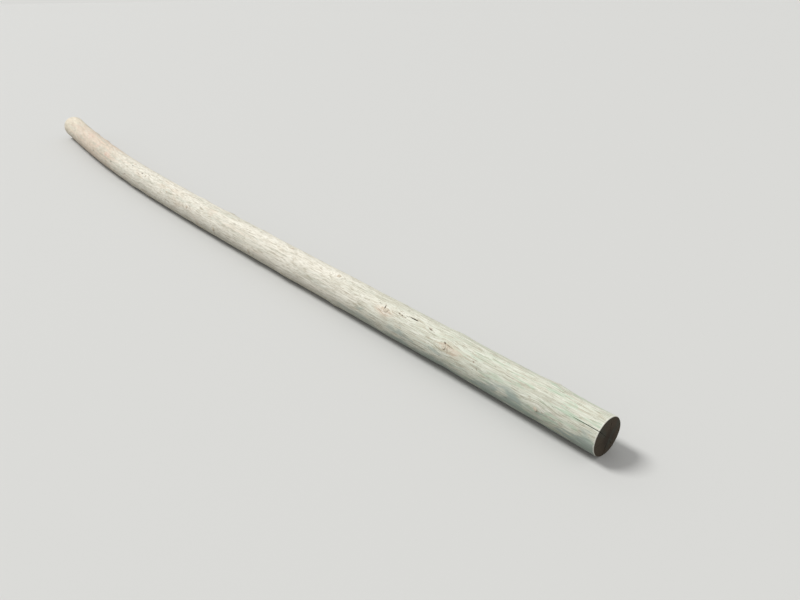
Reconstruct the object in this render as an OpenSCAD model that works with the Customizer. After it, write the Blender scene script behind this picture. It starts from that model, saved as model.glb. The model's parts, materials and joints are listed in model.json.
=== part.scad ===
// Bare wooden utility pole lying on level ground: butt at -X, top at +X.
// The origin is at the middle of its bounding box, on the ground.
// Angles round the pole start at its crown and grow towards -Y.

/* [Pole] */
// Length between the two sawn ends
pole_length = 7620; // [6000:10:9200]
// Diameter at the butt
butt_d = 236; // [190:1:320]
// Diameter at the top
top_d = 170; // [130:1:200]
// Extra diameter of the root flare at the very butt
flare_d = 8; // [0:1:30]
// Length over which most of the flare dies away
flare_length = 300; // [150:10:800]
// Difference between the widest and the narrowest diameter of one section
oval = 5; // [0:0.5:12]
// Sideways bow of the middle, towards -Y
bow = 126; // [90:1:220]
// Sideways S bend on top of the bow, towards -Y in the butt half
s_bend = 24; // [0:1:60]

/* [Grain] */
// Turn of the grain round the pole between the butt and the top, in degrees
grain_turn = 16; // [0:1:60]
// Distance of the pith from the axis of the pole
pith_shift = 18; // [4:1:30]
// Width of an open drying check at the surface
check_w = 3; // [2:0.5:6]
// Depth of an open drying check
check_depth = 20; // [8:1:30]
// Length of the checks that open into the sawn top
top_check_length = 130; // [80:10:600]
// Length of the checks that open into the sawn butt
butt_check_length = 420; // [80:10:600]
// Length of the long check on the side away from the light
long_check_length = 1500; // [600:10:2400]
// Length of the short check that opens along the crown
short_check_length = 100; // [60:5:300]
// Distance of the short check's middle from the sawn top
short_check_distance = 1020; // [700:10:1400]

/* [Knots] */
// Distance between two whorls of branches
whorl_pitch = 450; // [380:5:600]
// Distance from the sawn butt to the first whorl
first_whorl_distance = 575; // [200:5:600]
// Branches in one whorl
whorl_knots = 3; // [2:1:4]
// Diameter of a trimmed knot
knot_d = 30; // [16:1:36]
// Height of a trimmed knot over the wood round it
knot_height = 2; // [1:0.1:4]
// Height of the swelling round a knot
swelling = 4; // [0:0.5:10]

/* [Inner bark] */
// Thickness of the inner bark that the peeler left in the hollows between whorls
bark_thickness = 1.6; // [0.8:0.1:4]
// Play between the wood and what lies on it
seat_gap = 0.3; // [0.1:0.05:0.6]

/* [Hidden] */

// Corners of a section, without those of the checks
side_count = 28;
side_step = 360 / side_count;

// Checks: the corner that each follows, and the ends of its run as distances from the butt
function run_round(middle, length) = [middle - length / 2, middle + length / 2];
top_run = run_round(pole_length, 2 * top_check_length);
butt_run = run_round(0, 2 * butt_check_length);
long_run = run_round(pole_length / 2, long_check_length);
short_run = run_round(pole_length - short_check_distance, short_check_length);
checks = [
    [2, top_run],
    [12, top_run],
    [21, top_run],
    [6, butt_run],
    [15, butt_run],
    [25, butt_run],
    [18, long_run],
    [0, short_run],
];

// Taper with the root flare, and the axis that bows sideways
function share(s) = s / pole_length;
function flare_at(s) = flare_d / 2 * exp(-s / flare_length);
function taper_at(s) = butt_d / 2 + (top_d - butt_d) / 2 * share(s) + flare_at(s);
function bow_at(s) = -bow * sin(180 * share(s)) - s_bend * sin(360 * share(s));
function turn_at(s) = grain_turn * share(s);

// Whorls of branches: each is turned by the golden angle from the one before, as trees grow them,
// and their spacing is a little uneven
golden_angle = 137.5;
first_whorl_turn = 36;
uneven_share = 0.08;
whorl_end_gap = 120;
whorl_count = 1 + floor((pole_length - first_whorl_distance - whorl_end_gap) / whorl_pitch);
function whorl_at(k) =
    first_whorl_distance + (k - uneven_share * sin(golden_angle * k)) * whorl_pitch;
function knot_corner(k, n) =
    round((first_whorl_turn + golden_angle * k + n * 360 / whorl_knots) % 360 / side_step);
function knot_angle(k, n) = place_angle(whorl_at(k), knot_corner(k, n));

// Swelling of the wood round the knots of the nearest whorl, longer than it is wide
swelling_aspect = 1.4;
function nearest_whorl(s) =
    min(whorl_count - 1, max(0, round((s - first_whorl_distance) / whorl_pitch)));
function turn_between(a, b) = abs((a - b + 900) % 360 - 180);
function bump(distance) = exp(-distance * distance / (2 * knot_d * knot_d));
function swelling_at(s, a) =
    let (k = nearest_whorl(s), along = (s - whorl_at(k)) / swelling_aspect, r = taper_at(s))
    swelling * sum([for (n = [0:whorl_knots - 1])
        bump(norm([along, turn_between(a, knot_angle(k, n)) * PI / 180 * r]))]);
function sum(values, i = 0) = i < len(values) ? values[i] + sum(values, i + 1) : 0;

// Radius of the wood at a place, without the checks
function oval_at(s, a) = oval / 4 * cos(2 * (a - turn_at(s)));
function surface_at(s, a) = taper_at(s) + oval_at(s, a) + swelling_at(s, a);

// Depth of a check: full over its middle, and running out at its ends
run_out_power = 0.6;
function run_share(s, run) = (s - run[0]) / (run[1] - run[0]);
function check_depth_at(s, run) =
    let (t = run_share(s, run))
    t > 0 && t < 1 ? check_depth * pow(sin(180 * t), run_out_power) : 0;

// A section is a polygon whose corners follow the grain: a place of 2.5 is halfway between
// its corners 2 and 3, on the flat that joins them
function place_angle(s, place) = place * side_step + turn_at(s);
function flat_at(s, place) =
    let (
        corner = floor(place),
        part = (place - corner) * side_step,
        here = surface_at(s, place_angle(s, corner)),
        next = surface_at(s, place_angle(s, corner + 1))
    )
    here * next * sin(side_step) / (here * sin(part) + next * sin(side_step - part));

// Corners of one section as [place, depth below the flat]
function check_corners(s, j) =
    [for (check = checks) if (check[0] == j)
        let (middle = j + 0.5, half = check_w / 2 / (taper_at(s) * PI / 180 * side_step))
        each [[middle - half, 0], [middle, check_depth_at(s, check[1])], [middle + half, 0]]];
function corners(s) =
    [for (j = [0:side_count - 1]) each concat([[j, 0]], check_corners(s, j))];

// Height of the axis that sets the lowest corner of a section on the ground
function axis_height(s) =
    max([for (j = [0:side_count - 1])
        let (a = place_angle(s, j))
        -surface_at(s, a) * cos(a)]);

// A point of a section, before the origin is moved to the middle of the box
function point_at(s, height, place, rise) =
    let (a = place_angle(s, place), r = flat_at(s, place) + rise)
    [s - pole_length / 2, bow_at(s) - r * sin(a), height + r * cos(a)];
function log_section(s) =
    let (height = axis_height(s))
    [for (c = corners(s)) point_at(s, height, c[0], -c[1])];

// Sections stand across each whorl, where its swelling ends and along each check, in order
swelling_reach = 0.3 * whorl_pitch;
whorl_offsets = [-swelling_reach, -knot_d / 2, 0, knot_d / 2, swelling_reach];
whorl_sections = [for (k = [0:whorl_count - 1], o = whorl_offsets) whorl_at(k) + o];
check_shares = [0.02, 0.2, 0.5, 0.8, 0.98];
check_sections = [for (check = checks, t = check_shares)
    check[1][0] + t * (check[1][1] - check[1][0])];
least_section = 8;
function sorted(values) =
    len(values) < 2 ? values :
    let (pivot = values[floor(len(values) / 2)])
    concat(
        sorted([for (v = values) if (v < pivot) v]),
        [pivot],
        sorted([for (v = values) if (v > pivot) v])
    );
inner_sections = sorted([for (s = concat(whorl_sections, check_sections))
    if (s > least_section && s < pole_length - least_section) s]);
inner_last = len(inner_sections) - 1;
function apart(i) = i == inner_last || inner_sections[i + 1] - inner_sections[i] > least_section;
sections = concat(
    [0],
    [for (i = [0:inner_last]) if (apart(i)) inner_sections[i]],
    [pole_length]
);
log_points = [for (s = sections) log_section(s)];
all_y = [for (section = log_points, p = section) p[1]];
middle_y = (min(all_y) + max(all_y)) / 2;

// A closed solid through a row of sections that have the same number of corners. Where it gets
// the two end points of an axis, its end faces are fans round them. The section of a thin skin
// runs out on one side and back on the other, and its end faces are strips between the two
function fan_edges(count) = [for (j = [0:count - 1]) [j, (j + 1) % count]];
function strip_faces(count) =
    [for (j = [0:count / 2 - 2]) [j, j + 1, count - 2 - j, count - 1 - j]];
function backwards(face, first) = [for (i = [len(face) - 1:-1:0]) first + face[i]];
module loft(rows, axis_ends = []) {
    corner_count = len(rows[0]);
    last = len(rows) - 1;
    skin = [for (i = [0:last - 1], j = [0:corner_count - 1])
        let (
            next = (j + 1) % corner_count,
            a = i * corner_count + j,
            b = i * corner_count + next,
            c = (i + 1) * corner_count + next,
            d = (i + 1) * corner_count + j
        )
        each [[a, d, c], [a, c, b]]];
    fan = len(axis_ends) > 0;
    cap = fan ? fan_edges(corner_count) : strip_faces(corner_count);
    corner_total = corner_count * len(rows);
    first_cap = [for (face = cap) concat(face, fan ? [corner_total] : [])];
    last_cap = [for (face = cap)
        concat(backwards(face, last * corner_count), fan ? [corner_total + 1] : [])];
    polyhedron(
        points = concat([for (row = rows) each row], axis_ends),
        faces = concat(skin, first_cap, last_cap)
    );
}

// One section of a thin skin that lies on the log's flats and is thinner at its edges
edge_share = 0.4;
function skin_section(s, places, thickness) =
    let (height = axis_height(s), last = len(places) - 1)
    concat(
        [for (i = [0:last])
            let (rise = thickness * (i == 0 || i == last ? edge_share : 1))
            point_at(s, height, places[i], seat_gap + rise)],
        [for (i = [last:-1:0])
            point_at(s, height, places[i], seat_gap)]
    );

// The pith at a section: it lies a little off the axis, towards one place of the section
pith_place = 15.5;
function pith_at(s) =
    let (a = place_angle(s, pith_place))
    [
        s - pole_length / 2,
        bow_at(s) - pith_shift * sin(a),
        axis_height(s) + pith_shift * cos(a)
    ];

// The log: bowed, tapered, swollen at its whorls and split by drying
module peeled_log() {
    color([0.80, 0.82, 0.74])
        translate([0, -middle_y, 0])
            loft(log_points, [pith_at(0), pith_at(pole_length)]);
}

// One trimmed knot: a round, domed stub that lies on its swelling, centred on a corner of the log
knot_turns = [-72, -36, 0, 36, 72];
module trimmed_knot(s, corner) {
    flat_w = taper_at(s) * PI / 180 * side_step;
    loft([for (turn = knot_turns)
        let (
            half = knot_d / 2 * cos(turn) / flat_w,
            rise = knot_height * max(cos(turn), edge_share)
        )
        skin_section(s + knot_d / 2 * sin(turn), [corner - half, corner, corner + half], rise)]);
}

// All the knots but those that the pole lies on
least_knot_height = -0.9;
module trimmed_knots() {
    color([0.36, 0.29, 0.22])
        translate([0, -middle_y, 0])
            for (k = [0:whorl_count - 1], n = [0:whorl_knots - 1])
                if (cos(knot_angle(k, n)) > least_knot_height)
                    trimmed_knot(whorl_at(k), knot_corner(k, n));
}

// A ragged patch of inner bark in the hollow between a whorl and the next one. Its reach to
// either side is counted in corners of the log
bark_rows = 5;
bark_least = 1.1;
bark_rag = 0.8;
bark_wave = 470;
module bark_patch(k, corner) {
    start = whorl_at(k) + swelling_reach;
    end = whorl_at(k + 1) - swelling_reach;
    loft([for (i = [0:bark_rows])
        let (
            t = i / bark_rows,
            wave = bark_wave * (t + k),
            left = bark_least + bark_rag * sin(180 * t) * abs(cos(wave)),
            right = bark_least + bark_rag * sin(180 * t) * abs(sin(wave))
        )
        skin_section(
            start + t * (end - start),
            [corner - left, corner - 1, corner, corner + 1, corner + right],
            bark_thickness * (i == 0 || i == bark_rows ? edge_share : 1)
        )]);
}

// Patches as [whorl before the hollow, corner of the log]
bark_patches = [[1, 1], [2, 2], [3, 3], [6, 16], [10, 19], [13, 20], [14, 19]];
module inner_bark() {
    color([0.66, 0.45, 0.33])
        translate([0, -middle_y, 0])
            for (patch = bark_patches)
                if (patch[0] < whorl_count - 1)
                    bark_patch(patch[0], patch[1]);
}

peeled_log();
trimmed_knots();
inner_bark();
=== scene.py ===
"""A bare wooden utility pole: a peeled, treated log that lies on a pale floor.

Lengths are metres. s is the distance from the butt. Angles round the pole start at its crown and grow
towards -Y. A place counts the corners of a section, which follow the grain.
"""
import json
import math

import bpy
import numpy as np
from mathutils import Matrix, Vector, noise


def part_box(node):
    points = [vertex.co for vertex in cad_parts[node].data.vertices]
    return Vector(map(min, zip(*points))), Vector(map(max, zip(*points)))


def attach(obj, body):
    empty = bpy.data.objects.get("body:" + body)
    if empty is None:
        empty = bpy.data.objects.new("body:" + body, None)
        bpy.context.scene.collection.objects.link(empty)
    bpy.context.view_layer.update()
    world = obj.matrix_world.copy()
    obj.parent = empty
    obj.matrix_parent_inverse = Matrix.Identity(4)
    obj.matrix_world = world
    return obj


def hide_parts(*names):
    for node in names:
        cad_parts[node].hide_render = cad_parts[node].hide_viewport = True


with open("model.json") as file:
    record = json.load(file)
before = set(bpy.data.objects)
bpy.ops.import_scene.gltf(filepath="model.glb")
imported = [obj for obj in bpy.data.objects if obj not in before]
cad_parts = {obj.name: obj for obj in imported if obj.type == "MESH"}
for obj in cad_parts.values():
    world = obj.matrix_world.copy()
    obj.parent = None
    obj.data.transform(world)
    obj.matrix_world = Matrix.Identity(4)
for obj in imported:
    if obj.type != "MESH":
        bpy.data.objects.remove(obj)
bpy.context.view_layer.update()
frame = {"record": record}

MM = 0.001
TURN = 2 * math.pi

# The pole's form, with the sizes of the CAD model
cad_low, cad_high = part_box("peeled_log")
LENGTH = cad_high.x - cad_low.x
AXIS_Y = {mount["name"]: mount["pos_m"] for mount in frame["record"]["mounts"]}["butt_face"][1]
BUTT_D = 236 * MM
TOP_D = 170 * MM
FLARE_D = 8 * MM
FLARE_LENGTH = 300 * MM
OVAL = 5 * MM
BOW = 126 * MM
S_BEND = 24 * MM
GRAIN_TURN = math.radians(16)
CORNERS = 28
CORNER_STEP = TURN / CORNERS
PITH_SHIFT = 18 * MM
PITH_PLACE = 15.5


def taper_at(s):
    """Radius of the round log at a distance from the butt."""
    flare = FLARE_D / 2 * math.exp(-s / FLARE_LENGTH)
    return BUTT_D / 2 + (TOP_D - BUTT_D) / 2 * s / LENGTH + flare


def bow_at(s):
    """Where the bowed axis lies along Y."""
    share = s / LENGTH
    return AXIS_Y - BOW * math.sin(math.pi * share) - S_BEND * math.sin(2 * math.pi * share)


def turn_at(s):
    """How far the grain has turned round the pole."""
    return GRAIN_TURN * s / LENGTH


def place_angle(s, place):
    """The angle of a place of the section."""
    return place * CORNER_STEP + turn_at(s)


def turn_between(a, b):
    """The smaller turn from angle b to angle a, with its sign."""
    return (a - b + math.pi) % TURN - math.pi


# Whorls of branches, three knots each, and the wood that swells round them
WHORL_PITCH = 450 * MM
FIRST_WHORL = 575 * MM
WHORL_KNOTS = 3
WHORL_END_GAP = 120 * MM
GOLDEN_ANGLE = math.radians(137.5)
FIRST_WHORL_TURN = math.radians(36)
UNEVEN_SHARE = 0.08
KNOT_D = 30 * MM
SWELLING = 4 * MM
SWELLING_ASPECT = 1.4
SWELLING_REACH = 0.3 * WHORL_PITCH
LEAST_KNOT_HEIGHT = -0.9


def whorl_at(k):
    """Distance of a whorl from the butt: their pitch is a little uneven."""
    return FIRST_WHORL + (k - UNEVEN_SHARE * math.sin(GOLDEN_ANGLE * k)) * WHORL_PITCH


def knot_corner(k, n):
    """The corner of the section that a knot sits on."""
    turn = FIRST_WHORL_TURN + GOLDEN_ANGLE * k + n * TURN / WHORL_KNOTS
    return math.floor(turn % TURN / CORNER_STEP + 0.5)


WHORL_COUNT = 1 + math.floor((LENGTH - FIRST_WHORL - WHORL_END_GAP) / WHORL_PITCH)
WHORLS = [whorl_at(k) for k in range(WHORL_COUNT)]
KNOTS = [
    (whorl, place_angle(whorl, knot_corner(k, n)))
    for k, whorl in enumerate(WHORLS)
    for n in range(WHORL_KNOTS)
]


def near_knots(s, angle, reach):
    """For each knot within reach: how far a point lies from it along and across the pole."""
    radius = taper_at(s)
    return [
        (s - knot_s, turn_between(angle, knot_angle) * radius)
        for knot_s, knot_angle in KNOTS
        if abs(s - knot_s) < reach
    ]


def bump(along, across):
    """A hill of height 1 whose slopes end about three units away."""
    return math.exp(-(along ** 2 + across ** 2) / 2)


def swelling_at(s, angle):
    """How much the wood swells out at a point, longer along the pole than across it."""
    near = near_knots(s, angle, SWELLING_REACH)
    return SWELLING * sum(bump(ds / SWELLING_ASPECT / KNOT_D, dw / KNOT_D) for ds, dw in near)


# Pinkish wood, as the photo shows it beside a slit and a scar: s and angle of the middle, length and
# width, in millimetres and degrees. It is faint round each knot
BLUSHES = [(6425, 46, 120, 44), (6885, 50, 130, 44)]
KNOT_BLUSH = 0.4
KNOT_BLUSH_ALONG = 36 * MM
KNOT_BLUSH_ACROSS = 15 * MM
KNOT_BLUSH_REACH = 150 * MM


def blush_at(s, angle):
    """How pink the wood is at a point, from 0 to 1."""
    near = near_knots(s, angle, KNOT_BLUSH_REACH)
    hills = [bump(ds / KNOT_BLUSH_ALONG, dw / KNOT_BLUSH_ACROSS) for ds, dw in near]
    total = KNOT_BLUSH * max(hills, default=0)
    for blush_s, blush_turn, blush_length, blush_width in BLUSHES:
        ds = s - blush_s * MM
        dw = turn_between(angle, math.radians(blush_turn)) * taper_at(s)
        total = max(total, bump(ds / (blush_length * MM / 2), dw / (blush_width * MM / 2)))
    return total


# Grain parts round a knot: how far it is pushed aside, and over what length and width
PARTING = 0.75
PARTING_ALONG = 34 * MM
PARTING_ACROSS = 22 * MM
PARTING_REACH = 180 * MM


def parted_angle(s, angle):
    """The angle that the grain here has away from the knots, round which it parts."""
    radius = taper_at(s)
    for ds, dw in near_knots(s, angle, PARTING_REACH):
        angle -= PARTING * dw / radius * bump(ds / PARTING_ALONG, dw / PARTING_ACROSS)
    return angle


# Drying checks: the corner that each follows, the middle of its run and half the run. They gape less
# than the CAD model's, and those at the top and the short one run less far
CHECK_W = 2.2 * MM
CHECK_DEPTH = 20 * MM
RUN_OUT_POWER = 0.9
TOP_CHECK = 116 * MM
BUTT_CHECK = 420 * MM
LONG_CHECK = 1500 * MM
SHORT_CHECK = 64 * MM
SHORT_CHECK_DISTANCE = 1020 * MM
TOP_CORNERS = (2, 12, 21)
BUTT_CORNERS = (6, 15, 25)
LONG_CHECK_CORNER = 18
SHORT_CHECK_CORNER = 0
CHECKS = [(corner, LENGTH, TOP_CHECK) for corner in TOP_CORNERS]
CHECKS += [(corner, 0, BUTT_CHECK) for corner in BUTT_CORNERS]
CHECKS += [(LONG_CHECK_CORNER, LENGTH / 2, LONG_CHECK / 2)]
CHECKS += [(SHORT_CHECK_CORNER, LENGTH - SHORT_CHECK_DISTANCE, SHORT_CHECK / 2)]


def check_depth_at(s, middle, half_run):
    """Depth of a check: greatest at its middle, and running out at its ends."""
    t = (s - middle) / half_run / 2 + 0.5
    return CHECK_DEPTH * math.sin(math.pi * t) ** RUN_OUT_POWER if 0 < t < 1 else 0


# Small dark marks, as the photo shows them: s and angle of the middle, length, width, the turn of the
# mark from the grain, and its strength, in millimetres and degrees
MARKS = [
    (6418, 34, 34, 7, 66, 1),
    (6400, 47, 60, 4, 8, 0.45),
    (6514, 27, 12, 5, 10, 0.8),
    (6535, 28, 12, 5, 20, 0.8),
    (6560, 30, 12, 5, 0, 0.8),
    (6608, 20, 50, 5, 0, 0.9),
    (6725, 24, 26, 8, 10, 0.7),
    (6750, 27, 16, 6, 10, 0.4),
    (6842, 42, 16, 8, 30, 0.75),
    (6876, 45, 44, 4, 4, 0.6),
    (6870, 57, 28, 5, 62, 0.55),
    (7016, 48, 14, 6, 20, 0.6),
    (7046, 64, 16, 5, 40, 0.55),
    (5833, 18, 46, 4, 6, 0.6),
    (5662, 19, 20, 8, 0, 0.4),
    (3136, 29, 24, 11, 0, 0.85),
    (3075, 39, 22, 10, 30, 0.7),
    (2846, 21, 26, 11, 0, 0.8),
    (2755, 80, 26, 10, 0, 0.7),
    (2316, 65, 28, 12, 0, 0.85),
    (1638, 72, 30, 13, 0, 0.85),
]
MARK_DENT = 1.6 * MM
MARK_WINDOW = 90 * MM


def marks_near(s, angle):
    """For each mark near a point: the square of how many half sizes away it is, and its strength."""
    near = []
    for mark_s, mark_turn, mark_length, mark_width, tilt, strength in MARKS:
        ds = s - mark_s * MM
        if abs(ds) < MARK_WINDOW:
            dw = turn_between(angle, math.radians(mark_turn)) * taper_at(s)
            tilt_cos = math.cos(math.radians(tilt))
            tilt_sin = math.sin(math.radians(tilt))
            along = (tilt_cos * ds + tilt_sin * dw) / (mark_length * MM / 2)
            across = (tilt_cos * dw - tilt_sin * ds) / (mark_width * MM / 2)
            near.append((along ** 2 + across ** 2, strength))
    return near


def mark_at(s, angle):
    """Strength of the small dark marks at a point: even inside a mark, and soon gone past it."""
    total = sum(strength * math.exp(-square ** 2 / 2) for square, strength in marks_near(s, angle))
    return min(total, 1)


def rough(s, angle, along, across, seed):
    """Noise from -1 to 1 that follows the grain, with lumps of the size along by across."""
    radius = taper_at(s) / across
    turned = angle - turn_at(s)
    return noise.noise(Vector((s / along + seed, radius * math.cos(turned), radius * math.sin(turned))))


# The peeled surface lies a little inside the CAD model's corners. It has wide dips and narrow flutes,
# each with a depth, a length, a width and a seed, and a small shoulder near the top
SKIN = 1.3 * MM
DIPS = (1.3 * MM, 420 * MM, 60 * MM, 3)
FLUTES = (0.5 * MM, 500 * MM, 14 * MM, 40)
SHOULDER = 1.4 * MM
SHOULDER_DISTANCE = 138 * MM
SHOULDER_STEP = 8 * MM
SHOULDER_TURN = math.radians(-32)
SHOULDER_SPREAD = 0.35


def waves(s, angle, depth, along, across, seed):
    """Noise along the grain, from minus to plus a depth."""
    return depth * rough(s, angle, along, across, seed)


def shaved_at(s, angle):
    """How much more or less the peeler left on the log."""
    past = min(max((s - LENGTH + SHOULDER_DISTANCE) / SHOULDER_STEP, 0), 1)
    shoulder = SHOULDER * past * bump(turn_between(angle, SHOULDER_TURN) / SHOULDER_SPREAD, 0)
    return waves(s, angle, *DIPS) + waves(s, angle, *FLUTES) - shoulder


def girth_at(s, angle):
    """Radius of the peeled surface, without the checks."""
    oval = OVAL / 4 * math.cos(2 * (angle - turn_at(s)))
    return taper_at(s) + oval + swelling_at(s, angle) - SKIN + shaved_at(s, angle)


# Small helpers for work on any piece
def only(piece):
    """Makes a piece the only one that is selected."""
    bpy.ops.object.select_all(action="DESELECT")
    piece.select_set(True)
    bpy.context.view_layer.objects.active = piece


def choose(piece, kind, picked):
    """Opens a piece for editing with only the picked vertices, edges or faces selected."""
    only(piece)
    bpy.ops.object.mode_set(mode="EDIT")
    bpy.ops.mesh.select_mode(type=kind)
    bpy.ops.mesh.select_all(action="DESELECT")
    bpy.ops.object.mode_set(mode="OBJECT")
    mesh = piece.data
    elements = {"VERT": mesh.vertices, "EDGE": mesh.edges, "FACE": mesh.polygons}[kind]
    elements.foreach_set("select", np.asarray(picked, bool))
    bpy.ops.object.mode_set(mode="EDIT")


def end_editing():
    """Closes the piece that choose has opened."""
    bpy.ops.object.mode_set(mode="OBJECT")


def points(piece):
    """The places of a piece's vertices, one row each."""
    flat = np.empty(len(piece.data.vertices) * 3)
    piece.data.vertices.foreach_get("co", flat)
    return flat.reshape(-1, 3)


def edge_ends(piece):
    """The two vertices of each edge, one row each."""
    flat = np.empty(len(piece.data.edges) * 2, int)
    piece.data.edges.foreach_get("vertices", flat)
    return flat.reshape(-1, 2)


def face_vector(piece, name):
    """A vector of each face, such as its normal or its center, one row each."""
    flat = np.empty(len(piece.data.polygons) * 3)
    piece.data.polygons.foreach_get(name, flat)
    return flat.reshape(-1, 3)


def apply_modifier(piece, kind, **settings):
    """Adds a modifier with its settings and applies it."""
    modifier = piece.modifiers.new(kind.lower(), kind)
    for name, value in settings.items():
        setattr(modifier, name, value)
    only(piece)
    bpy.ops.object.modifier_apply(modifier=modifier.name)


# Vertices whose weights agree to this many digits are painted together
WEIGHT_DIGITS = 7


def push(piece, values, direction):
    """Pushes each vertex by its own value: first all by one base, then each by its painted weight."""
    values = np.asarray(values, float)
    base = float(values.min())
    span = float(values.max()) - base
    if base + span <= 0:
        base += span
        span = -span
    if base:
        apply_modifier(piece, "DISPLACE", direction=direction, mid_level=0, strength=base)
    if span:
        group = piece.vertex_groups.new(name="push")
        shares = np.round((values - base) / span, WEIGHT_DIGITS)
        weights, where = np.unique(shares, return_inverse=True)
        order = np.argsort(where, kind="stable")
        starts = np.searchsorted(where[order], np.arange(len(weights) + 1))
        for i, weight in enumerate(weights):
            group.add(order[starts[i]:starts[i + 1]].tolist(), float(weight), "REPLACE")
        apply_modifier(
            piece, "DISPLACE", direction=direction, mid_level=0, strength=span, vertex_group="push"
        )
        piece.vertex_groups.remove(piece.vertex_groups["push"])


def keep(piece, title, values):
    """Stores a number or a vector for each vertex, for the materials."""
    values = np.asarray(values, float)
    is_vector = values.ndim == 2
    attribute = piece.data.attributes.new(title, "FLOAT_VECTOR" if is_vector else "FLOAT", "POINT")
    attribute.data.foreach_set("vector" if is_vector else "value", values.ravel())


def finish_shape(piece, sharp_degrees):
    """Points all faces outwards and smooths them, but for edges sharper than an angle."""
    choose(piece, "FACE", np.ones(len(piece.data.polygons), bool))
    bpy.ops.mesh.normals_make_consistent(inside=False)
    end_editing()
    bpy.ops.object.shade_smooth_by_angle(angle=math.radians(sharp_degrees))


# The log: a tube whose columns of points follow the grain and whose rings stand across it
COLUMNS_A_CORNER = 8
COLUMNS = COLUMNS_A_CORNER * CORNERS
COLUMN_STEP = TURN / COLUMNS
RING_CUTS = (11, 31)
RINGS = (RING_CUTS[0] + 1) * (RING_CUTS[1] + 1)
TUBE_R = TOP_D / 4
CHAMFER = 1.5 * MM
GROUND_GAP = 0.1 * MM

LIP_PINCH = COLUMN_STEP - CHECK_W / (TOP_D / 2 + BUTT_D / 2)
CHECK_COLUMNS = [round((corner + 0.5) * COLUMNS_A_CORNER) for corner, *_ in CHECKS]

# Rings stand closer together towards the top and at places with fine forms: the place, how much
# denser they get there, and over what length
TOP_CROWD_LENGTH = 300 * MM
CROWDS = [(whorl, 1.6, 50 * MM) for whorl in WHORLS]
CROWDS += [(mark[0] * MM, 1, 22 * MM) for mark in MARKS]
CROWDS += [(LENGTH - SHOULDER_DISTANCE, 5, SHOULDER_STEP)]
STATION_SAMPLES = 8001

# Sawn ends: the sizes that an end shrinks through on its way to the pith
CAP_SHARES = (0.985, 0.95, 0.89, 0.81, 0.71, 0.6, 0.48, 0.36, 0.24, 0.12)

# Cracks of a sawn end: how many corners each lies from the end's first check, and where it starts and
# stops, as shares of the way from the pith to the edge
END_CRACKS = ((0, 0.2, 1), (4, 0.5, 0.9), (9.5, 0.1, 1), (13, 0.3, 0.65), (19, 0.2, 1), (23.5, 0.4, 0.75))
END_CRACK_DEPTH = 5 * MM

# How near an end's face, or a crack's line, a vertex lies that counts as on it
ON_FACE = 0.01 * MM
ON_RAY = 0.02 * MM

# The wood is cut finer round a mark, as far as this square of its half sizes
MARK_CUTS = 2
MARK_REACH = 6

# A face that turns this far along the pole belongs to an end
END_NORMAL = 0.9
LOG_SHARP_DEGREES = 30


def make_stations():
    """Distances of the rings from the butt."""
    fine = np.linspace(CHAMFER, LENGTH - CHAMFER, STATION_SAMPLES)
    density = 1 + np.exp((fine - LENGTH) / TOP_CROWD_LENGTH)
    for place, more, spread in CROWDS:
        density += more * np.exp(-((fine - place) / spread) ** 2)
    total = np.concatenate(([0], np.cumsum((density[1:] + density[:-1]) / 2)))
    return np.interp(np.linspace(0, total[-1], RINGS + 1), total, fine)


STATIONS = make_stations()
AXIS_YS = np.array([bow_at(s) for s in STATIONS])


def round_axis(co, lift):
    """Distance from the butt, angle round the bowed axis and distance from it, for each point."""
    s = co[:, 0] + LENGTH / 2
    sideways = np.interp(s, STATIONS, AXIS_YS) - co[:, 1]
    up = co[:, 2] - np.interp(s, STATIONS, lift)
    return s, np.arctan2(sideways, up), np.hypot(sideways, up)


def close_end(log, rim, outwards, pith, first_check):
    """Closes an end of the tube: a chamfered saw edge, rings that shrink to the pith, and cracks."""
    is_end = np.zeros(len(log.data.vertices), bool)
    is_end[rim] = True
    choose(log, "EDGE", is_end[edge_ends(log)].all(axis=1))
    share = 1
    for next_share in CAP_SHARES:
        step = outwards if share == 1 else 0
        bpy.ops.mesh.extrude_region_move(TRANSFORM_OT_translate={"value": (step, 0, 0)})
        shrink = next_share / share
        bpy.ops.transform.resize(value=(1, shrink, shrink), center_override=pith)
        share = next_share
    bpy.ops.mesh.merge(type="CENTER")
    end_editing()
    co = points(log)
    flat = co[:, 1:] - np.array(pith[1:])
    on_face = np.abs(co[:, 0] - co[rim[0], 0] - outwards) < ON_FACE
    cracked = np.zeros(len(co), bool)
    for corners, start, stop in END_CRACKS:
        ray = flat[rim[round((first_check + 0.5 + corners) * COLUMNS_A_CORNER) % COLUMNS]]
        length = np.hypot(*ray)
        along = flat @ ray / length ** 2
        off = (flat[:, 0] * ray[1] - flat[:, 1] * ray[0]) / length
        cracked |= on_face & (np.abs(off) < ON_RAY) & (along > start) & (along < stop)
    choose(log, "VERT", cracked)
    bpy.ops.transform.translate(value=(-math.copysign(END_CRACK_DEPTH, outwards), 0, 0))
    end_editing()
    return np.flatnonzero(cracked)


def cut_tube():
    """A tube along X that is cut into rings, and the ring and the column of each of its vertices."""
    bpy.ops.object.select_all(action="DESELECT")
    bpy.ops.mesh.primitive_cylinder_add(
        vertices=COLUMNS,
        radius=TUBE_R,
        depth=LENGTH,
        end_fill_type="NOTHING",
        rotation=(0, math.pi / 2, 0),
    )
    log = bpy.context.object
    log.name = "peeled_log_finish"
    bpy.ops.object.transform_apply(location=False, rotation=True, scale=True)
    for cuts in RING_CUTS:
        ends = edge_ends(log)
        x = points(log)[:, 0]
        choose(log, "EDGE", np.abs(x[ends[:, 0]] - x[ends[:, 1]]) > MM)
        bpy.ops.mesh.subdivide(number_cuts=cuts)
        end_editing()
    co = points(log)
    ring = np.rint((co[:, 0] / LENGTH + 0.5) * RINGS).astype(int)
    column = np.rint(np.arctan2(-co[:, 1], co[:, 2]) / COLUMN_STEP).astype(int) % COLUMNS
    return log, ring, column


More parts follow.
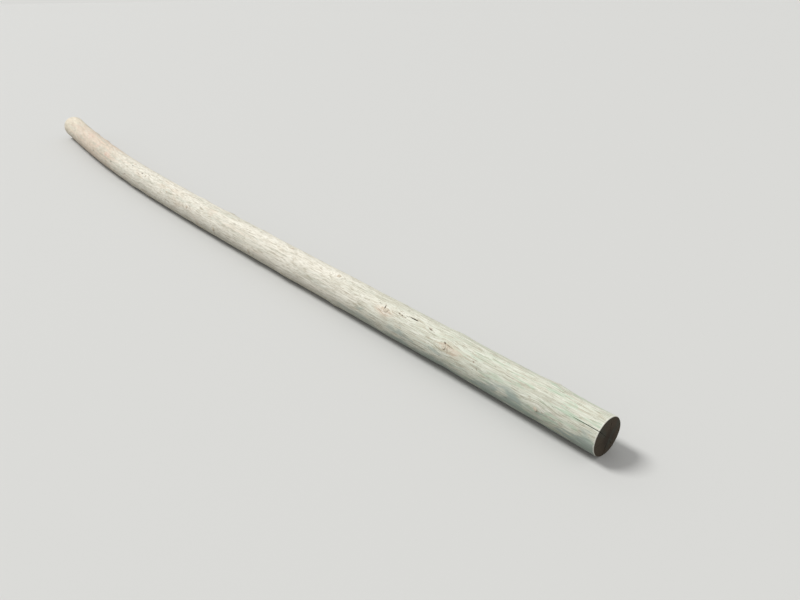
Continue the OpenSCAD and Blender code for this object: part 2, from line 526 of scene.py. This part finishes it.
def narrow_checks(log, column):
    """Turns the columns beside each check's towards it, so that it gapes by its own width."""
    for side in (1, -1):
        beside = [(check + side) % COLUMNS for check in CHECK_COLUMNS]
        choose(log, "VERT", np.isin(column, beside))
        bpy.ops.transform.rotate(value=side * LIP_PINCH, orient_axis="X", center_override=(0, 0, 0))
        end_editing()


def place_rings(log, ring):
    """Moves the rings to their stations and turns them with the grain; gives each vertex's angle."""
    co = points(log)
    start_angle = np.arctan2(-co[:, 1], co[:, 2])
    push(log, STATIONS[ring] - LENGTH / 2 - co[:, 0], "X")
    twist = GRAIN_TURN * (LENGTH - 2 * CHAMFER) / LENGTH
    apply_modifier(log, "SIMPLE_DEFORM", deform_method="TWIST", deform_axis="X", angle=twist)
    choose(log, "VERT", np.ones(len(co), bool))
    bpy.ops.transform.rotate(value=-GRAIN_TURN / 2, orient_axis="X", center_override=(0, 0, 0))
    end_editing()
    return start_angle + GRAIN_TURN * STATIONS[ring] / LENGTH


def check_shares(s, column):
    """How deep each vertex lies in a check, as a share of the greatest depth."""
    share = np.zeros(len(s))
    for check_column, (_, middle, half_run) in zip(CHECK_COLUMNS, CHECKS):
        for i in np.flatnonzero(column == check_column):
            share[i] = max(share[i], check_depth_at(s[i], middle, half_run) / CHECK_DEPTH)
    return share


def close_ends(log, ring, column, lift):
    """Closes both ends and tags their faces; gives the vertices of the cracks."""
    tube_size = len(log.data.vertices)
    cracked = []
    for end_ring, outwards, first_check in (
        (RINGS, CHAMFER, TOP_CORNERS[0]),
        (0, -CHAMFER, BUTT_CORNERS[0]),
    ):
        rim = np.flatnonzero(ring == end_ring)
        rim = rim[np.argsort(column[rim])]
        turn = place_angle(STATIONS[end_ring], PITH_PLACE)
        pith_y = AXIS_YS[end_ring] - PITH_SHIFT * math.sin(turn)
        pith_z = lift[end_ring] + PITH_SHIFT * math.cos(turn)
        cracked.append(close_end(log, rim, outwards, (0, pith_y, pith_z), first_check))

    # The end faces hold only vertices that are newer than the tube's
    oldest = [min(face.vertices) for face in log.data.polygons]
    is_end = (np.array(oldest) >= tube_size).astype(float)
    log.data.attributes.new("end_face", "FLOAT", "FACE").data.foreach_set("value", is_end)
    return np.concatenate(cracked)


def dent_marks(log, lift):
    """Cuts the sides finer round the small marks and dents them; gives each vertex's mark."""
    s, angle, _ = round_axis(face_vector(log, "center"), lift)
    nearest = [min((square for square, _ in marks_near(*at)), default=math.inf) for at in zip(s, angle)]
    is_side = np.abs(face_vector(log, "normal")[:, 0]) < END_NORMAL
    choose(log, "FACE", (np.array(nearest) < MARK_REACH) & is_side)
    bpy.ops.mesh.subdivide(number_cuts=MARK_CUTS)
    end_editing()
    s, angle, _ = round_axis(points(log), lift)
    mark = np.array([mark_at(*at) for at in zip(s, angle)])
    push(log, -MARK_DENT * mark, "NORMAL")
    return mark


def keep_patterns(log, lift, hollow, mark):
    """Stores what the materials read: the grain, the checks and cracks, marks, blush and swelling."""
    s, angle, radius = round_axis(points(log), lift)
    parted = np.array([parted_angle(*at) for at in zip(s, angle)]) - GRAIN_TURN * s / LENGTH
    pith = PITH_PLACE * CORNER_STEP
    across = radius * np.cos(parted) - PITH_SHIFT * math.cos(pith)
    up = radius * np.sin(parted) - PITH_SHIFT * math.sin(pith)
    keep(log, "grain", np.stack([s, across, up], axis=1))
    keep(log, "hollow", np.pad(hollow, (0, len(s) - len(hollow))))
    keep(log, "mark", mark)
    keep(log, "blush", [blush_at(*at) for at in zip(s, angle)])
    keep(log, "swelling", [swelling_at(*at) / SWELLING for at in zip(s, angle)])


def make_log():
    """Cuts a tube into rings, twists it with the grain, swells, bows and lifts it, and closes it."""
    log, ring, column = cut_tube()
    narrow_checks(log, column)
    angle = place_rings(log, ring)
    s = STATIONS[ring]
    girth = np.array([girth_at(*at) for at in zip(s, angle)])
    hollow = check_shares(s, column)
    lift = np.full(RINGS + 1, -math.inf)
    np.maximum.at(lift, ring, GROUND_GAP - girth * np.cos(angle))
    push(log, girth - CHECK_DEPTH * hollow - TUBE_R, "NORMAL")
    push(log, AXIS_YS[ring], "Y")
    push(log, lift[ring], "Z")

    cracked = close_ends(log, ring, column, lift)
    hollow = np.pad(hollow, (0, len(log.data.vertices) - len(hollow)))
    hollow[cracked] = 1
    mark = dent_marks(log, lift)
    finish_shape(log, LOG_SHARP_DEGREES)
    keep_patterns(log, lift, hollow, mark)
    return log, lift


# A trimmed knot: a low dome with a rim that stands just free of the wood, cracked as it dried. Its
# rings are a share of the radius and a height in millimetres. Its cracks follow two of its sides, and
# would run out just past the rim
STUB_SIDES = 28
STUB_R = 0.8 * KNOT_D / 2
STUB_SUNK = 4 * MM
STUB_RINGS = [(1, 0.1), (0.94, 0.75), (0.82, 1), (0.62, 1.2), (0.42, 1.35), (0.2, 1.4)]
STUB_CRACKS = (3, 12)
STUB_CRACK_DEPTH = 1.4 * MM
STUB_CRACK_FLOOR = 0.5 * MM
STUB_CRACK_END = 1.05
STUB_CORE = 0.1
STUB_PINCH = 0.7 * TURN / STUB_SIDES
STUB_UNEVEN = 0.07
STUB_SHARP_DEGREES = 50
MEAN_R = (TOP_D + BUTT_D) / 4

# Copies of the knot: their mean size, its swing and its step from knot to knot, the steps of their
# turn and of their pattern, and how much longer than wide they are
KNOT_SIZE = 0.82
KNOT_SIZE_SWING = 0.18
KNOT_SIZE_STEP = 2.4
KNOT_SPIN_STEP = 1.7
KNOT_PATTERN_STEP = 0.1
KNOT_ASPECT = 1.3


def make_stub():
    """Models the knot round the origin: X along the pole, Y across it and Z outwards."""
    bpy.ops.object.select_all(action="DESELECT")
    bpy.ops.mesh.primitive_circle_add(
        vertices=STUB_SIDES, radius=STUB_R, fill_type="NGON", location=(0, 0, -STUB_SUNK)
    )
    stub = bpy.context.object
    bpy.ops.object.transform_apply(location=True)
    choose(stub, "EDGE", np.ones(len(stub.data.edges), bool))
    height = -STUB_SUNK
    share = 1
    for next_share, next_height in STUB_RINGS:
        rise = next_height * MM - height
        bpy.ops.mesh.extrude_edges_move(TRANSFORM_OT_translate={"value": (0, 0, rise)})
        shrink = next_share / share
        bpy.ops.transform.resize(value=(shrink, shrink, 1), center_override=(0, 0, 0))
        share = next_share
        height = next_height * MM
    bpy.ops.mesh.merge(type="CENTER")
    end_editing()

    # The rim isn't quite round
    co = points(stub)
    turn = np.arctan2(co[:, 1], co[:, 0])
    side = np.rint(turn / TURN * STUB_SIDES).astype(int) % STUB_SIDES
    radius = np.hypot(co[:, 0], co[:, 1]) / STUB_R
    uneven = STUB_UNEVEN * (np.cos(2 * turn + 1) + 0.6 * np.cos(3 * turn))
    push(stub, co[:, 0] * uneven, "X")
    push(stub, co[:, 1] * uneven, "Y")

    # The cracks are narrow and shallower towards the rim, and the whole follows the round of the pole
    top = (co[:, 2] > STUB_CRACK_FLOOR) & (radius > STUB_CORE)
    cracked = top & np.isin(side, STUB_CRACKS)
    for beside in (1, -1):
        lips = [(crack + beside) % STUB_SIDES for crack in STUB_CRACKS]
        choose(stub, "VERT", top & np.isin(side, lips))
        bpy.ops.transform.rotate(value=beside * STUB_PINCH, orient_axis="Z", center_override=(0, 0, 0))
        end_editing()
    across = points(stub)[:, 1]
    drop = across ** 2 / (2 * MEAN_R) + STUB_CRACK_DEPTH * cracked * (STUB_CRACK_END - radius)
    push(stub, -drop, "Z")
    finish_shape(stub, STUB_SHARP_DEGREES)
    keep(stub, "crack", cracked.astype(float))
    return stub


def make_knots(log_lift):
    """Copies the knot to every place that isn't under the pole, each a little different."""
    stub = make_stub()
    flat = points(stub)
    copies = []
    for k, (s, angle) in enumerate(KNOTS):
        if math.cos(angle) <= LEAST_KNOT_HEIGHT:
            continue
        only(stub)
        bpy.ops.object.duplicate()
        knot = bpy.context.object
        pattern = np.full(len(flat), KNOT_PATTERN_STEP * k)
        keep(knot, "stub", np.column_stack([flat[:, 0], flat[:, 1], pattern]))
        size = KNOT_SIZE + KNOT_SIZE_SWING * math.cos(KNOT_SIZE_STEP * k)
        lift = float(np.interp(s, STATIONS, log_lift))
        place = Matrix.Translation((s - LENGTH / 2, bow_at(s), lift))
        place @= Matrix.Rotation(angle, 4, "X")
        place @= Matrix.Translation((0, 0, girth_at(s, angle)))
        place @= Matrix.Diagonal((KNOT_ASPECT * size, size, 1, 1))
        place @= Matrix.Rotation(KNOT_SPIN_STEP * k, 4, "Z")
        knot.matrix_world = place
        bpy.ops.object.transform_apply(location=True, rotation=True, scale=True)
        copies.append(knot)
    bpy.data.objects.remove(stub)
    bpy.ops.object.select_all(action="DESELECT")
    for knot in copies:
        knot.select_set(True)
    bpy.context.view_layer.objects.active = copies[0]
    bpy.ops.object.join()
    copies[0].name = "trimmed_knots_finish"
    return copies[0]


# Inner bark: patches as (whorl before the hollow, corner of the log), as the CAD model has them
BARK_PATCHES = ((1, 1), (2, 2), (3, 3), (6, 16), (10, 19), (13, 20), (14, 19))
BARK_THICKNESS = 1.2 * MM
BARK_SUNK = 0.9 * MM
BARK_REACH = 1.75 * CORNER_STEP
BARK_CUTS = 2
BARK_SHARP_DEGREES = 60

# A patch ends at this square of its half sizes, but for the tears in its edge, which have a reach, a
# length, a width and a seed. It thins out over a step, and strips make it uneven
BARK_EDGE = 0.8
LONG_TEARS = (1.5, 170 * MM, 9 * MM, 7)
SHORT_TEARS = (0.4, 30 * MM, 4 * MM, 9)
BARK_EDGE_STEP = 0.6
BARK_STRIPS = (0.25 * MM, 60 * MM, 8 * MM, 5)


def bark_rise(s, angle, start, end, middle):
    """Height of the bark over the wood: it ends in torn strips that run out under the surface."""
    along = abs(2 * (s - start) / (end - start) - 1)
    across = abs(turn_between(angle, middle)) / BARK_REACH
    edge = BARK_EDGE - along ** 2 - across ** 2
    torn = waves(s, angle, *LONG_TEARS) + waves(s, angle, *SHORT_TEARS)
    share = min(max((edge + torn) / BARK_EDGE_STEP, 0), 1)
    return (BARK_THICKNESS + BARK_SUNK) * share - BARK_SUNK + waves(s, angle, *BARK_STRIPS)


def bark_ranges():
    """Where each patch starts and ends along the pole, and its middle's angle."""
    ranges = []
    for whorl, corner in BARK_PATCHES:
        start = WHORLS[whorl] + SWELLING_REACH
        end = WHORLS[whorl + 1] - SWELLING_REACH
        ranges.append((start, end, place_angle((start + end) / 2, corner)))
    return ranges


def make_bark(log, log_lift):
    """Lifts patches of the log's own surface, cuts them finer and gives them their thickness."""
    only(log)
    bpy.ops.object.duplicate()
    bark = bpy.context.object
    bark.name = "inner_bark_finish"
    ranges = bark_ranges()
    s, angle, _ = round_axis(face_vector(bark, "center"), log_lift)
    wanted = np.zeros(len(s), bool)
    for start, end, middle in ranges:
        off = np.abs(turn_between(angle, middle))
        wanted |= (s > start) & (s < end) & (off < BARK_REACH)
    choose(bark, "FACE", ~wanted)
    bpy.ops.mesh.delete(type="FACE")
    end_editing()
    choose(bark, "FACE", np.ones(len(bark.data.polygons), bool))
    bpy.ops.mesh.subdivide(number_cuts=BARK_CUTS)
    end_editing()
    s, angle, _ = round_axis(points(bark), log_lift)
    rise = np.empty(len(s))
    for i in range(len(s)):
        start, end, middle = min(ranges, key=lambda patch: abs(s[i] - (patch[0] + patch[1]) / 2))
        rise[i] = bark_rise(s[i], angle[i], start, end, middle)
    push(bark, rise, "NORMAL")
    keep(bark, "rise", rise)
    apply_modifier(bark, "SOLIDIFY", thickness=BARK_SUNK + BARK_THICKNESS, offset=-1)
    finish_shape(bark, BARK_SHARP_DEGREES)
    return bark


# Materials: streaks along the grain are wavy, by this much distortion of their noise
STREAK_WAVE = 0.8


def linear(hex_colour):
    """Turns an sRGB hex colour into a linear one."""
    parts = [int(hex_colour[i:i + 2], 16) / 255 for i in (1, 3, 5)]
    return tuple(c / 12.92 if c <= 0.04045 else ((c + 0.055) / 1.055) ** 2.4 for c in parts) + (1,)


def add(tree, kind, inputs=None, output=None, **settings):
    """Adds a node with its settings and links, and gives its first or its named output."""
    node = tree.nodes.new(kind)
    for name, value in settings.items():
        setattr(node, name, value)
    sockets = {socket.identifier: socket for socket in node.inputs}
    for name, value in (inputs or {}).items():
        if isinstance(value, bpy.types.NodeSocket):
            tree.links.new(value, sockets[name])
        else:
            sockets[name].default_value = value
    if output:
        return node.outputs[output]
    return next((socket for socket in node.outputs if socket.enabled), node)


def streaks(tree, grain, along, across, seed=0, detail=2):
    """Noise that is stretched along the grain and a little wavy; lengths are in millimetres."""
    scale = (1 / (along * MM), 1 / (across * MM), 1 / (across * MM))
    place = add(
        tree,
        "ShaderNodeVectorMath",
        {"Vector": grain, "Vector_001": scale, "Vector_002": (seed, seed, seed)},
        operation="MULTIPLY_ADD",
    )
    inputs = {"Vector": place, "Scale": 1, "Detail": detail, "Distortion": STREAK_WAVE}
    return add(tree, "ShaderNodeTexNoise", inputs)


def paint(tree, base, coat, pattern, low, high, strength=1):
    """Lays a colour over another where a pattern passes from low to high."""
    share = add(
        tree,
        "ShaderNodeMapRange",
        {"Value": pattern, "From Min": low, "From Max": high, "To Max": strength},
        interpolation_type="SMOOTHSTEP",
    )
    inputs = {"Factor_Float": share, "A_Color": base, "B_Color": linear(coat)}
    return add(tree, "ShaderNodeMix", inputs, data_type="RGBA")


def surface(name, colour_of, roughness, bump_height):
    """A material whose colour and height come from a function of its node tree."""
    material = bpy.data.materials.new(name)
    material.use_nodes = True
    tree = material.node_tree
    tree.nodes.clear()
    colour, height = colour_of(tree)
    normal = add(tree, "ShaderNodeBump", {"Height": height, "Distance": bump_height, "Strength": 1})
    inputs = {"Base Color": colour, "Roughness": roughness, "Normal": normal}
    shader = add(tree, "ShaderNodeBsdfPrincipled", inputs)
    add(tree, "ShaderNodeOutputMaterial", {"Surface": shader})
    return material


def weighed(tree, *parts):
    """The sum of sockets or numbers, each times its weight."""
    total = 0
    for value, weight in parts:
        inputs = {"Value": value, "Value_001": weight, "Value_002": total}
        total = add(tree, "ShaderNodeMath", inputs, operation="MULTIPLY_ADD")
    return total


# Rim of a sawn end, worn light and with a painted highlight: how far from the end it starts and is at its
# lightest, and how far it frays
RIM_WEAR_AND_HIGHLIGHT_START = 5.5 * MM
RIM_WEAR_AND_HIGHLIGHT_FULL = 2 * MM
FRAY = 7 * MM


def treated_pine(tree):
    """Peeled and pressure-treated pine that has bleached: matt and pale, with lengthwise streaks."""
    grain = add(tree, "ShaderNodeAttribute", output="Vector", attribute_name="grain")
    blush = add(tree, "ShaderNodeAttribute", output="Fac", attribute_name="blush")
    swelling = add(tree, "ShaderNodeAttribute", output="Fac", attribute_name="swelling")
    hollow = add(tree, "ShaderNodeAttribute", output="Fac", attribute_name="hollow")
    mark = add(tree, "ShaderNodeAttribute", output="Fac", attribute_name="mark")
    s = add(tree, "ShaderNodeSeparateXYZ", {"Vector": grain}, output="X")
    spot = add(tree, "ShaderNodeTexCoord", output="Object")
    height = add(tree, "ShaderNodeSeparateXYZ", {"Vector": spot}, output="Z")

    # Wood fibres are too fine to show, so these streaks are as wide as bundles of them
    fibres = streaks(tree, grain, 100, 6, detail=3)
    hairs = streaks(tree, grain, 50, 3, seed=5)
    threads = streaks(tree, grain, 200, 1.6, seed=51, detail=1)
    dashes = streaks(tree, grain, 55, 3, seed=31, detail=1)

    # Wider changes: how the sapwood took the treatment and the weather, and blotches for the tones low on
    # the sides
    bands = streaks(tree, grain, 800, 28, seed=11, detail=1)
    clouds = streaks(tree, grain, 380, 90, seed=17)
    patches = streaks(tree, grain, 150, 34, seed=23, detail=5)
    salts = streaks(tree, grain, 120, 16, seed=37, detail=4)

    # The tone changes along the pole: yellowish at the butt, then pinkish, cream, and cool at the top
    along = weighed(tree, (s, 1), (clouds, 1.6), (1.0, -0.8))
    colour = paint(tree, linear("#FBEFD9"), "#EBD8C4", along, 0.3, 0.9)
    colour = paint(tree, colour, "#F8F4E6", along, 1.9, 2.8)
    colour = paint(tree, colour, "#DFE2D2", along, 5.7, 6.9)
    colour = paint(tree, colour, "#CDD0C1", bands, 0.5, 0.7, 0.55)
    warmth = add(tree, "ShaderNodeMapRange", {"Value": s, "From Min": 7, "From Max": 4.5, "To Max": 0.45})
    colour = paint(tree, colour, "#E2CFB9", clouds, 0.53, 0.7, warmth)
    colour = paint(tree, colour, "#F8F6EB", fibres, 0.47, 0.34, 0.6)
    colour = paint(tree, colour, "#ACA590", fibres, 0.55, 0.66, 0.65)
    colour = paint(tree, colour, "#958C75", hairs, 0.57, 0.65, 0.62)
    colour = paint(tree, colour, "#B7B09C", threads, 0.52, 0.66, 0.6)

    # Late wood: lines where the peeled surface cuts through the growth rings
    depth = weighed(tree, (bands, 9), (clouds, 4), (swelling, 2.6), (fibres, 0.7))
    rings = add(tree, "ShaderNodeMath", {"Value": depth}, operation="FRACT")
    colour = paint(tree, colour, "#BCAF97", rings, 0.62, 1, 0.42)

    # Pinkish wood and green salts at the top, both stains. Then blue-grey low down on the sides towards
    # the top, and dark brown over the lowest few centimetres next to the floor
    pink = weighed(tree, (blush, 1), (fibres, 1.2), (1.0, -0.6))
    colour = paint(tree, colour, "#E3C8B0", pink, 0.3, 1, 0.42)
    salted = add(tree, "ShaderNodeMapRange", {"Value": s, "From Min": 6.7, "From Max": 7.4, "To Max": 0.6})
    colour = paint(tree, colour, "#B4CBB2", salts, 0.5, 0.64, salted)
    # Blue-grey, stronger low down on the sides, towards the top of the pole
    low_blue_grey_share = add(
        tree, "ShaderNodeMapRange", {"Value": along, "From Min": 5.7, "From Max": 6.6, "To Max": 0.68}
    )
    low_blue_grey = weighed(tree, (patches, 1), (height, -3.2))
    colour = paint(tree, colour, "#99A9A3", low_blue_grey, 0.14, 0.36, low_blue_grey_share)
    # Dark brown over the lowest few centimetres of the pole, next to the floor
    lowest_band = weighed(tree, (patches, 0.06), (height, -1))
    colour = paint(tree, colour, "#71664F", lowest_band, -0.004, 0.024, 0.85)

    # The sawn edges are worn light and carry a painted highlight: a rim a few millimetres wide, frayed
    # along the fibres
    half = LENGTH / 2
    offset = add(tree, "ShaderNodeMath", {"Value": s, "Value_001": half}, operation="SUBTRACT")
    from_middle = add(tree, "ShaderNodeMath", {"Value": offset}, operation="ABSOLUTE")
    rim_wear_and_highlight = weighed(tree, (from_middle, 1), (hairs, 2 * FRAY), (1.0, -FRAY))
    # Lighter rim at each sawn end: partly wear, partly a painted highlight
    colour = paint(tree, colour, "#F8F5EA", rim_wear_and_highlight, half - RIM_WEAR_AND_HIGHLIGHT_START, half - RIM_WEAR_AND_HIGHLIGHT_FULL, 0.75)

    # Dark: short hairline cracks and the marks. The open checks get painted shade that deepens with their
    # depth
    colour = paint(tree, colour, "#6E6350", dashes, 0.71, 0.77, 0.75)
    torn = weighed(tree, (mark, 1), (hairs, 0.9), (1.0, -0.45))
    colour = paint(tree, colour, "#8E7A67", torn, 0.26, 0.55, 0.75)
    colour = paint(tree, colour, "#2C241B", torn, 0.5, 0.95, 0.92)
    # Painted shade inside the open checks, by their depth
    colour = paint(tree, colour, "#3B3128", hollow, 0.06, 0.3, 0.9)
    relief = weighed(tree, (fibres, 0.45), (hairs, 0.4), (threads, 0.2), (dashes, -0.25), (rings, -0.08))
    return colour, relief


# Sawn end: how wide its growth rings are, its blotches, its pores, which are drawn coarse enough to
# show, and the strokes of the saw with their slant
END_RING = 3.6 * MM
END_WANDER = 55 * MM
END_PORE = 2.4 * MM
SAW_STROKE = 9 * MM
SAW_SLANT = 0.3


def end_grain(tree):
    """A saw cut across pine, dark from the weather and darkened further with painted shade: growth rings
    round the pith, cracks, saw marks.
    """
    grain = add(tree, "ShaderNodeAttribute", output="Vector", attribute_name="grain")
    hollow = add(tree, "ShaderNodeAttribute", output="Fac", attribute_name="hollow")
    flat_map = {"Vector": grain, "Vector_001": (0, 1, 1)}
    flat = add(tree, "ShaderNodeVectorMath", flat_map, operation="MULTIPLY")
    far = add(tree, "ShaderNodeVectorMath", {"Vector": flat}, output="Value", operation="LENGTH")
    wander = add(tree, "ShaderNodeTexNoise", {"Vector": flat, "Scale": 1 / END_WANDER, "Detail": 3})
    pores = add(tree, "ShaderNodeTexNoise", {"Vector": flat, "Scale": 1 / END_PORE, "Detail": 2})
    turns = weighed(tree, (far, 1 / END_RING), (wander, 3))
    rings = add(tree, "ShaderNodeMath", {"Value": turns}, operation="FRACT")
    spot = add(tree, "ShaderNodeTexCoord", output="Object")
    sideways = add(tree, "ShaderNodeSeparateXYZ", {"Vector": spot}, output="Y")
    height = add(tree, "ShaderNodeSeparateXYZ", {"Vector": spot}, output="Z")
    pace = TURN / SAW_STROKE
    strokes = weighed(tree, (height, pace), (sideways, SAW_SLANT * pace), (wander, 14))
    saw = add(tree, "ShaderNodeMath", {"Value": strokes}, operation="SINE")
    # The whole end is darker than weathered wood alone: part of its dark is painted shade
    colour = paint(tree, linear("#5C5142"), "#372D22", rings, 0.35, 1, 0.8)
    colour = paint(tree, colour, "#33281F", far, 0.06, 0.015, 0.6)
    colour = paint(tree, colour, "#4E534A", wander, 0.48, 0.68, 0.55)
    colour = paint(tree, colour, "#332A20", pores, 0.55, 0.75, 0.5)
    # Painted shade inside the cracks of the sawn end
    colour = paint(tree, colour, "#120F0C", hollow, 0.3, 0.8, 0.95)
    return colour, weighed(tree, (rings, -0.2), (pores, 0.5), (saw, 0.08))


# Knots: their growth rings are narrower than the pole's
KNOT_RING = 2.1 * MM
KNOT_WANDER = 11 * MM


def knot_heartwood(tree):
    """A branch stub cut off flush: hard wood, a little browner than the log, dark at the rim, with painted
    shade in its cracks.
    """
    stub = add(tree, "ShaderNodeAttribute", output="Vector", attribute_name="stub")
    crack = add(tree, "ShaderNodeAttribute", output="Fac", attribute_name="crack")
    flat_map = {"Vector": stub, "Vector_001": (1, 1, 0)}
    flat = add(tree, "ShaderNodeVectorMath", flat_map, operation="MULTIPLY")
    far = add(tree, "ShaderNodeVectorMath", {"Vector": flat}, output="Value", operation="LENGTH")
    wander = add(tree, "ShaderNodeTexNoise", {"Vector": stub, "Scale": 1 / KNOT_WANDER, "Detail": 3})
    turns = weighed(tree, (far, 1 / KNOT_RING), (wander, 2))
    rings = add(tree, "ShaderNodeMath", {"Value": turns}, operation="FRACT")
    spot = add(tree, "ShaderNodeTexCoord", output="Object")
    x = add(tree, "ShaderNodeSeparateXYZ", {"Vector": spot}, output="X")
    colour = paint(tree, linear("#DDD1BD"), "#B8A489", rings, 0.4, 1, 0.6)
    colour = paint(tree, colour, "#CDD0C1", wander, 0.5, 0.7, 0.5)
    colour = paint(tree, colour, "#D3CDBB", x, 1.6, 3, 0.55)
    colour = paint(tree, colour, "#B49E85", far, 0.005, 0.001, 0.5)
    colour = paint(tree, colour, "#A3927B", far, 0.009, 0.012, 0.55)
    # Painted shade inside the knot's cracks
    colour = paint(tree, colour, "#4A3E31", crack, 0.35, 0.95, 0.85)
    return colour, weighed(tree, (rings, -0.2), (wander, 0.6))


def pine_phloem(tree):
    """Inner bark that the peeler missed: thin, fibrous and pinkish tan, torn into strips."""
    grain = add(tree, "ShaderNodeAttribute", output="Vector", attribute_name="grain")
    rise = add(tree, "ShaderNodeAttribute", output="Fac", attribute_name="rise")
    strips = streaks(tree, grain, 150, 5, seed=3)
    clouds = streaks(tree, grain, 90, 20, seed=9, detail=3)
    colour = paint(tree, linear("#E0CBB8"), "#C3A48D", strips, 0.48, 0.68, 0.7)
    colour = paint(tree, colour, "#ECE2D3", clouds, 0.46, 0.66, 0.75)
    colour = paint(tree, colour, "#B39A84", rise, 0.4 * MM, -0.1 * MM, 0.4)
    return colour, weighed(tree, (strips, 0.8), (clouds, 0.4))


def pale_floor(tree):
    """Plain pale floor: its own tone for the eye, and a darker one for the light that it throws up."""
    eye = add(tree, "ShaderNodeLightPath", output="Is Camera Ray")
    inputs = {"Factor_Float": eye, "A_Color": linear("#8C8C88"), "B_Color": linear("#D2D2CF")}
    return add(tree, "ShaderNodeMix", inputs, data_type="RGBA"), 0.5


def give(piece, *materials):
    """Gives a piece its materials in place of any that it has."""
    piece.data.materials.clear()
    for material in materials:
        piece.data.materials.append(material)


def finish_log(log):
    """Gives the log its two finishes: peeled sides and sawn ends."""
    give(
        log,
        surface("treated_pine", treated_pine, roughness=0.82, bump_height=1.2 * MM),
        surface("weathered_shaded_end_grain", end_grain, roughness=0.9, bump_height=MM),
    )
    is_end = np.empty(len(log.data.polygons))
    log.data.attributes["end_face"].data.foreach_get("value", is_end)
    log.data.polygons.foreach_set("material_index", is_end.astype(np.int32))


# Camera, floor and light. The camera's place, turns and focal length are fitted to the photo
EYE = Vector((4.673, -1.5995, 1.5325))
YAW = math.radians(-51.191)
PITCH = math.radians(27.053)
ROLL = math.radians(0.872)
FOCAL_PX = 596.6
IMAGE_W = 800
SENSOR_W = 36
FLOOR_SIZE = 900
SUN_FROM = Vector((-0.6, -0.24, 0.78))
SUN_STRENGTH = 2.16
SUN_ANGLE = 0.35
SKY_STRENGTH = 0.55
BACKDROP = "#DADAD7"


def make_camera():
    """The photo's view: yaw from +Y, pitch down and roll."""
    forward = Vector((math.sin(YAW) * math.cos(PITCH), math.cos(YAW) * math.cos(PITCH), -math.sin(PITCH)))
    level = Vector((math.cos(YAW), -math.sin(YAW), 0))
    down = forward.cross(level)
    right = math.cos(ROLL) * level + math.sin(ROLL) * down
    up = math.sin(ROLL) * level - math.cos(ROLL) * down
    camera = bpy.data.objects.new("camera", bpy.data.cameras.new("camera"))
    camera.data.sensor_width = SENSOR_W
    camera.data.lens = FOCAL_PX / IMAGE_W * SENSOR_W
    camera.matrix_world = Matrix.Translation(EYE) @ Matrix((right, up, -forward)).transposed().to_4x4()
    bpy.context.scene.collection.objects.link(camera)
    bpy.context.scene.camera = camera


def make_stage():
    """A pale floor under soft light from above, which comes from the butt's side."""
    bpy.ops.object.select_all(action="DESELECT")
    bpy.ops.mesh.primitive_plane_add(size=FLOOR_SIZE)
    floor = bpy.context.object
    floor.name = "floor"
    give(floor, surface("pale_floor", pale_floor, roughness=0.9, bump_height=0.01 * MM))
    sun = bpy.data.objects.new("key", bpy.data.lights.new("key", "SUN"))
    sun.data.energy = SUN_STRENGTH
    sun.data.angle = SUN_ANGLE
    sun.rotation_euler = (-SUN_FROM).to_track_quat("-Z", "Y").to_euler()
    bpy.context.scene.collection.objects.link(sun)
    world = bpy.data.worlds.new("studio")
    bpy.context.scene.world = world
    world.use_nodes = True
    tree = world.node_tree
    tree.nodes.clear()
    light = add(tree, "ShaderNodeBackground", {"Color": (1, 1, 1, 1), "Strength": SKY_STRENGTH})
    backdrop = add(tree, "ShaderNodeBackground", {"Color": linear(BACKDROP), "Strength": 1})
    eye = add(tree, "ShaderNodeLightPath", output="Is Camera Ray")
    both = add(tree, "ShaderNodeMixShader", {"Fac": eye, "Shader": light, "Shader_001": backdrop})
    add(tree, "ShaderNodeOutputWorld", {"Surface": both})
    bpy.context.scene.view_settings.view_transform = "Standard"


make_camera()
make_stage()

log, log_lift = make_log()
bark = make_bark(log, log_lift)
knots = make_knots(log_lift)
finish_log(log)
give(knots, surface("knot_heartwood", knot_heartwood, roughness=0.7, bump_height=0.6 * MM))
give(bark, surface("pine_phloem", pine_phloem, roughness=0.85, bump_height=1.2 * MM))
for piece, node, slot in (
    (log, "peeled_log", "treated_wood"),
    (knots, "trimmed_knots", "knot_wood"),
    (bark, "inner_bark", "inner_bark"),
):
    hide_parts(node)
    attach(piece, "root")
